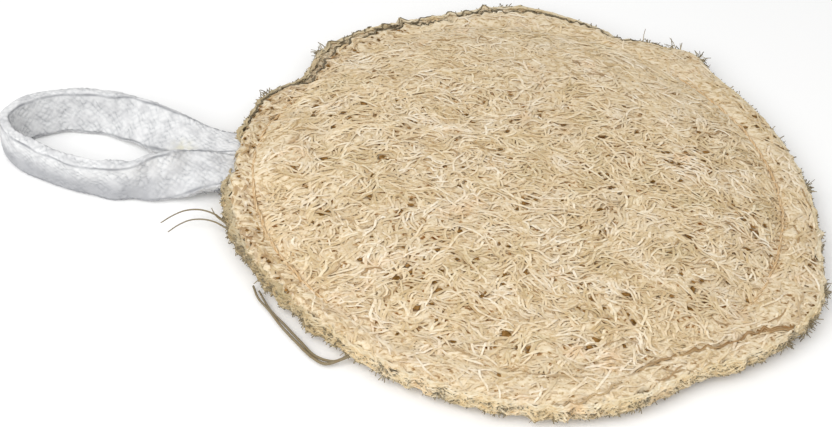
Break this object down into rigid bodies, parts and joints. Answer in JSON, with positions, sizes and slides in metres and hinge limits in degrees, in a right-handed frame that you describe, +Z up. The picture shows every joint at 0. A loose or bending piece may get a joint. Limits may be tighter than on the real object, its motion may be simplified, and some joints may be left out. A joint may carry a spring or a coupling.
{
  "type": "loofah pad with hanging loop",
  "caption": "Flat round pad of two natural loofah sheets sewn together near the rim, with a white cotton tape loop for hanging.",
  "frame": {"origin": "middle of the flat spot under the pad, on the surface that it rests on", "axes": "+Z up through the pad, loop pointing along -X"},
  "size_m": [0.2083, 0.1589, 0.0158],
  "materials": {
    "loofah_front": "pressed net of dry plant fibres, matt, cream to tan",
    "loofah_back": "pressed net of dry plant fibres, matt, slightly darker",
    "cotton_tape": "soft braided white cotton, matt",
    "seam_thread": "twisted cotton thread, orange tan, matt"
  },
  "bodies": {
    "root": {"front_loofah_sheet": "loofah_front", "back_loofah_sheet": "loofah_back", "hanging_loop": "cotton_tape", "seam_thread": "seam_thread"}
  },
  "joints": []
}
